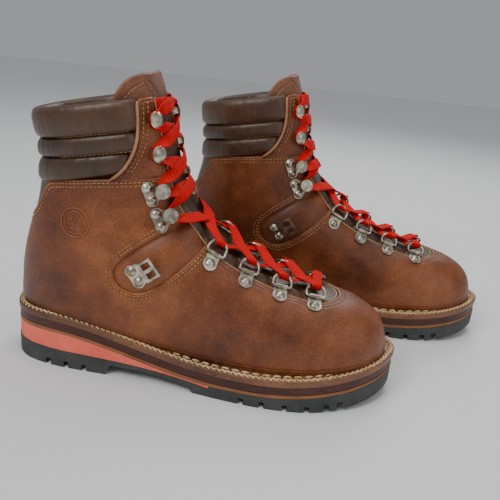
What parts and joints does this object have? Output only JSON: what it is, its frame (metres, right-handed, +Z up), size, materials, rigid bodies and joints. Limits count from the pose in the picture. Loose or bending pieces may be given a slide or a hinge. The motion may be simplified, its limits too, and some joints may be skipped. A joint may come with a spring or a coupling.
{
  "type": "mountaineering boots",
  "caption": "Pair of lace-up leather mountain boots with padded collars, hinged lace rings, hooks, ankle locks, bright flat laces and welted lugged soles.",
  "frame": {"origin": "bottom centre of the pair's bounding box, on the ground under the treads", "axes": "+X towards the toes, +Y from the right boot to the left boot, +Z up"},
  "size_m": [0.395, 0.2526, 0.2226],
  "materials": {
    "waxed_leather": "waxed nubuck, satin",
    "soft_leather": "soft smooth leather, satin",
    "lining_leather": "matte",
    "footbed_leather": "matte",
    "welt_leather": "satin, stitched",
    "midsole_leather": "dyed edge, semi-gloss",
    "light_layer": "satin",
    "wedge_rubber": "matte foam rubber",
    "tread_rubber": "matte",
    "antique_nickel": "antiqued, satin",
    "shank_steel": "plain",
    "lace_cord": "flat weave"
  },
  "bodies": {
    "right_boot": {"right_achilles_panel": "soft_leather", "right_backstay": "waxed_leather", "right_collar": "soft_leather", "right_dark_midsole": "midsole_leather", "right_facings": "waxed_leather", "right_flex_panels": "waxed_leather", "right_gusset": "soft_leather", "right_insole": "footbed_leather", "right_lace": "lace_cord", "right_lace_hooks": "antique_nickel", "right_light_midsole": "light_layer", "right_lining": "lining_leather", "right_lock_hooks": "antique_nickel", "right_outsole": "tread_rubber", "right_ring_clips": "antique_nickel", "right_rivets": "antique_nickel", "right_shank": "shank_steel", "right_tongue": "soft_leather", "right_tongue_tab": "soft_leather", "right_upper": "waxed_leather", "right_wedge": "wedge_rubber", "right_welt": "welt_leather"},
    "left_boot": {"left_achilles_panel": "soft_leather", "left_backstay": "waxed_leather", "left_collar": "soft_leather", "left_dark_midsole": "midsole_leather", "left_facings": "waxed_leather", "left_flex_panels": "waxed_leather", "left_gusset": "soft_leather", "left_insole": "footbed_leather", "left_lace": "lace_cord", "left_lace_hooks": "antique_nickel", "left_light_midsole": "light_layer", "left_lining": "lining_leather", "left_lock_hooks": "antique_nickel", "left_outsole": "tread_rubber", "left_ring_clips": "antique_nickel", "left_rivets": "antique_nickel", "left_shank": "shank_steel", "left_tongue": "soft_leather", "left_tongue_tab": "soft_leather", "left_upper": "waxed_leather", "left_wedge": "wedge_rubber", "left_welt": "welt_leather"},
    "left_inner_ring_1": {"left_inner_ring_1": "antique_nickel"},
    "left_inner_ring_2": {"left_inner_ring_2": "antique_nickel"},
    "left_inner_ring_3": {"left_inner_ring_3": "antique_nickel"},
    "left_inner_ring_4": {"left_inner_ring_4": "antique_nickel"},
    "left_outer_ring_1": {"left_outer_ring_1": "antique_nickel"},
    "left_outer_ring_2": {"left_outer_ring_2": "antique_nickel"},
    "left_outer_ring_3": {"left_outer_ring_3": "antique_nickel"},
    "left_outer_ring_4": {"left_outer_ring_4": "antique_nickel"},
    "right_inner_ring_1": {"right_inner_ring_1": "antique_nickel"},
    "right_inner_ring_2": {"right_inner_ring_2": "antique_nickel"},
    "right_inner_ring_3": {"right_inner_ring_3": "antique_nickel"},
    "right_inner_ring_4": {"right_inner_ring_4": "antique_nickel"},
    "right_outer_ring_1": {"right_outer_ring_1": "antique_nickel"},
    "right_outer_ring_2": {"right_outer_ring_2": "antique_nickel"},
    "right_outer_ring_3": {"right_outer_ring_3": "antique_nickel"},
    "right_outer_ring_4": {"right_outer_ring_4": "antique_nickel"}
  },
  "joints": [
    {"name": "left_boot_lift", "type": "slide", "parent": "right_boot", "child": "left_boot", "axis": [0, 0, 1], "range_m": [0, 0.25]},
    {"name": "right_outer_ring_1_swing", "type": "hinge", "parent": "right_boot", "child": "right_outer_ring_1", "pos_m": [0.03507, -0.08789, 0.07665], "axis": [-0.9927, -0.0377, 0.1141], "range_deg": [-5, 5]},
    {"name": "left_outer_ring_1_swing", "type": "hinge", "parent": "left_boot", "child": "left_outer_ring_1", "pos_m": [0.13196, 0.08579, 0.07665], "axis": [0.9867, -0.1154, -0.1141], "range_deg": [-5, 5]},
    {"name": "right_outer_ring_2_swing", "type": "hinge", "parent": "right_boot", "child": "right_outer_ring_2", "pos_m": [0.00937, -0.08951, 0.08202], "axis": [-0.9727, -0.0696, 0.2213], "range_deg": [-5, 5]},
    {"name": "left_outer_ring_2_swing", "type": "hinge", "parent": "left_boot", "child": "left_outer_ring_2", "pos_m": [0.10647, 0.08943, 0.08202], "axis": [0.9642, -0.1457, -0.2213], "range_deg": [-5, 5]},
    {"name": "right_outer_ring_3_swing", "type": "hinge", "parent": "right_boot", "child": "right_outer_ring_3", "pos_m": [-0.01595, -0.0914, 0.09087], "axis": [-0.9465, -0.0938, 0.3087], "range_deg": [-5, 5]},
    {"name": "left_outer_ring_3_swing", "type": "hinge", "parent": "left_boot", "child": "left_outer_ring_3", "pos_m": [0.08137, 0.0933, 0.09087], "axis": [0.9363, -0.1678, -0.3087], "range_deg": [-5, 5]},
    {"name": "right_outer_ring_4_swing", "type": "hinge", "parent": "right_boot", "child": "right_outer_ring_4", "pos_m": [-0.04097, -0.09506, 0.10294], "axis": [-0.8716, -0.133, 0.4718], "range_deg": [-5, 5]},
    {"name": "left_outer_ring_4_swing", "type": "hinge", "parent": "left_boot", "child": "left_outer_ring_4", "pos_m": [0.05672, 0.09891, 0.10294], "axis": [0.8585, -0.201, -0.4718], "range_deg": [-5, 5]},
    {"name": "right_inner_ring_1_swing", "type": "hinge", "parent": "right_boot", "child": "right_inner_ring_1", "pos_m": [0.03517, -0.04801, 0.07677], "axis": [0.9868, -0.0528, -0.1529], "range_deg": [-5, 5]},
    {"name": "left_inner_ring_1_swing", "type": "hinge", "parent": "left_boot", "child": "left_inner_ring_1", "pos_m": [0.12893, 0.04603, 0.07677], "axis": [-0.9879, 0.0248, 0.1529], "range_deg": [-5, 5]},
    {"name": "right_inner_ring_2_swing", "type": "hinge", "parent": "right_boot", "child": "right_inner_ring_2", "pos_m": [0.00938, -0.04585, 0.08219], "axis": [0.9743, -0.0692, -0.2144], "range_deg": [-5, 5]},
    {"name": "left_inner_ring_2_swing", "type": "hinge", "parent": "left_boot", "child": "left_inner_ring_2", "pos_m": [0.10305, 0.0459, 0.08219], "axis": [-0.9767, 0.0074, 0.2144], "range_deg": [-5, 5]},
    {"name": "right_inner_ring_3_swing", "type": "hinge", "parent": "right_boot", "child": "right_inner_ring_3", "pos_m": [-0.01592, -0.04404, 0.09109], "axis": [0.9493, -0.0941, -0.3], "range_deg": [-5, 5]},
    {"name": "left_inner_ring_3_swing", "type": "hinge", "parent": "left_boot", "child": "left_inner_ring_3", "pos_m": [0.07769, 0.04608, 0.09109], "axis": [-0.9537, -0.0193, 0.3], "range_deg": [-5, 5]},
    {"name": "right_inner_ring_4_swing", "type": "hinge", "parent": "right_boot", "child": "right_inner_ring_4", "pos_m": [-0.04089, -0.04048, 0.10314], "axis": [0.8751, -0.1359, -0.4645], "range_deg": [-5, 5]},
    {"name": "left_inner_ring_4_swing", "type": "hinge", "parent": "left_boot", "child": "left_inner_ring_4", "pos_m": [0.05252, 0.04449, 0.10314], "axis": [-0.883, -0.0668, 0.4645], "range_deg": [-5, 5]}
  ]
}
